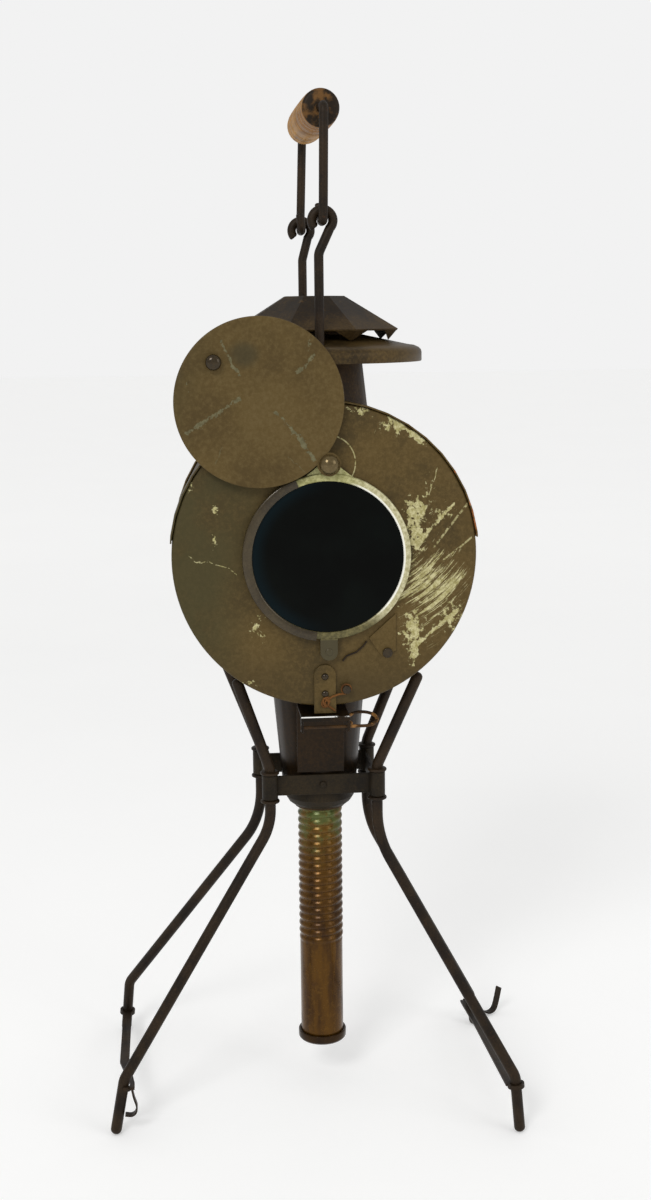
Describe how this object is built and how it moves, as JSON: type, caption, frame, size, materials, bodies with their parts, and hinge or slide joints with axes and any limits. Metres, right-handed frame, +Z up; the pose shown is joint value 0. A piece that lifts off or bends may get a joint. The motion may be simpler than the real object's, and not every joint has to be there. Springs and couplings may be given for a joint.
{
  "type": "candle signal lamp",
  "caption": "Candle-lit hand signal lamp with a swinging colour filter and cover, ventilated chimney, carrying bail, screw-fed candle tube and swivelling wire legs.",
  "frame": {"origin": "on the ground, below the middle of the lamp with its legs spread", "axes": "+Z up, -Y the way the lens looks, +X to the right of a viewer facing the lens"},
  "size_m": [0.3006, 0.1926, 0.6827],
  "materials": {
    "olive": "worn olive paint",
    "tin": "dark aged paint",
    "wire": "black-brown aged wire",
    "fasteners": "tarnished",
    "rust": "rusty",
    "brass": "aged, glossy",
    "silvered": "silvered",
    "filter_glass": "dark blue-green",
    "clear_glass": "clear",
    "wood": "turned, worn",
    "tallow": "wax"
  },
  "bodies": {
    "lantern": {"drum_shell": "tin", "rear_cover": "tin", "hood_band": "olive", "chimney_tube": "tin", "skirt_disc": "tin", "cowl_roof": "tin", "front_stay": "wire", "rear_stay": "wire", "front_stay_rivet": "fasteners", "rear_stay_rivet": "fasteners", "neck_tube": "tin", "neck_dish": "tin", "thread_socket": "tin", "catch_bracket": "tin", "collar_front": "tin", "collar_rear": "tin", "collar_rivet_front": "fasteners", "collar_rivet_rear": "fasteners", "reflector": "silvered", "reflector_stud": "fasteners", "reflector_nut": "fasteners"},
    "door": {"lid": "olive", "clear_lens": "clear_glass", "lens_retainer": "tin", "filter_keeper": "olive", "keeper_screw": "fasteners", "filter_spring": "fasteners", "hasp": "olive", "hasp_rivet_upper": "fasteners", "hasp_rivet_lower": "fasteners", "tether_post": "fasteners", "tether_wire": "rust", "pivot_rivet": "fasteners", "pivot_washer_front": "fasteners", "pivot_washer_rear": "fasteners"},
    "filter": {"filter_frame": "olive", "filter_channel": "olive", "filter_glass": "filter_glass"},
    "cover": {"cover_disc": "olive", "cover_knob": "fasteners"},
    "lock_pin": {"lock_pin": "rust"},
    "bail": {"bail_wire": "wire"},
    "grip": {"grip": "wood"},
    "candle_core": {"candle": "tallow", "wick": "tallow", "candle_follower": "brass", "pusher_spring": "fasteners"},
    "candle_tube": {"candle_tube": "brass", "end_cap": "brass", "nozzle_cap": "brass"},
    "leg_front_left": {"front_left_leg": "wire"},
    "leg_front_right": {"front_right_leg": "wire"},
    "leg_rear_left": {"rear_left_leg": "wire"},
    "leg_rear_right": {"rear_right_leg": "wire"},
    "spreader_left": {"left_spreader": "wire"},
    "spreader_right": {"right_spreader": "wire"}
  },
  "joints": [
    {"name": "door_pull", "type": "slide", "parent": "lantern", "child": "door", "axis": [0, -1, 0], "range_m": [0, 0.06]},
    {"name": "filter_swing", "type": "hinge", "parent": "door", "child": "filter", "pos_m": [0.00299, -0.06379, 0.451], "axis": [0, 1, 0], "range_deg": [-100, 0]},
    {"name": "cover_swing", "type": "hinge", "parent": "door", "child": "cover", "pos_m": [0.00299, -0.07049, 0.451], "axis": [0, 1, 0], "range_deg": [-132.1, 0]},
    {"name": "lock_pin_pull", "type": "slide", "parent": "lantern", "child": "lock_pin", "axis": [1, 0, 0], "range_m": [0, 0.045]},
    {"name": "bail_fold", "type": "hinge", "parent": "lantern", "child": "bail", "pos_m": [-0.00046, 0.00291, 0.6008], "axis": [-0.037, 0.9993, 0], "range_deg": [-100, 100]},
    {"name": "grip_spin", "type": "hinge", "parent": "bail", "child": "grip", "pos_m": [0.00114, 0.00291, 0.6702], "axis": [-0.024, 0.9997, 0], "continuous": true},
    {"name": "candle_rise", "type": "slide", "parent": "lantern", "child": "candle_core", "axis": [0, 0, 1], "range_m": [0, 0.0872]},
    {"name": "tube_turn", "type": "hinge", "parent": "candle_core", "child": "candle_tube", "pos_m": [0.00079, 0.00291, 0.1], "axis": [0, 0, 1], "range_deg": [0, 5760]},
    {"name": "front_left_swivel", "type": "hinge", "parent": "lantern", "child": "leg_front_left", "pos_m": [-0.03569, -0.02809, 0.2278], "axis": [0, 0, 1], "range_deg": [-18.9, 0]},
    {"name": "front_right_swivel", "type": "hinge", "parent": "lantern", "child": "leg_front_right", "pos_m": [0.03779, -0.02809, 0.2278], "axis": [0, 0, -1], "range_deg": [-36.2, 0]},
    {"name": "rear_left_swivel", "type": "hinge", "parent": "lantern", "child": "leg_rear_left", "pos_m": [-0.03898, 0.03391, 0.2278], "axis": [0, 0, -1], "range_deg": [-28.6, 0]},
    {"name": "rear_right_swivel", "type": "hinge", "parent": "lantern", "child": "leg_rear_right", "pos_m": [0.03779, 0.03391, 0.2278], "axis": [0, 0, 1], "range_deg": [-22.7, 0]},
    {"name": "left_spreader_swing", "type": "hinge", "parent": "leg_rear_left", "child": "spreader_left", "pos_m": [-0.14272, 0.09047, 0.016], "axis": [0.0953, -0.0519, 0.9941], "range_deg": [0, 40]},
    {"name": "right_spreader_swing", "type": "hinge", "parent": "leg_front_right", "child": "spreader_right", "pos_m": [0.12301, -0.09046, 0.033], "axis": [-0.0828, 0.0606, 0.9947], "range_deg": [0, 40]}
  ],
  "couplings": [
    {"joint": "candle_rise", "follows": "tube_turn", "m_per_rad": 0.00086731}
  ]
}
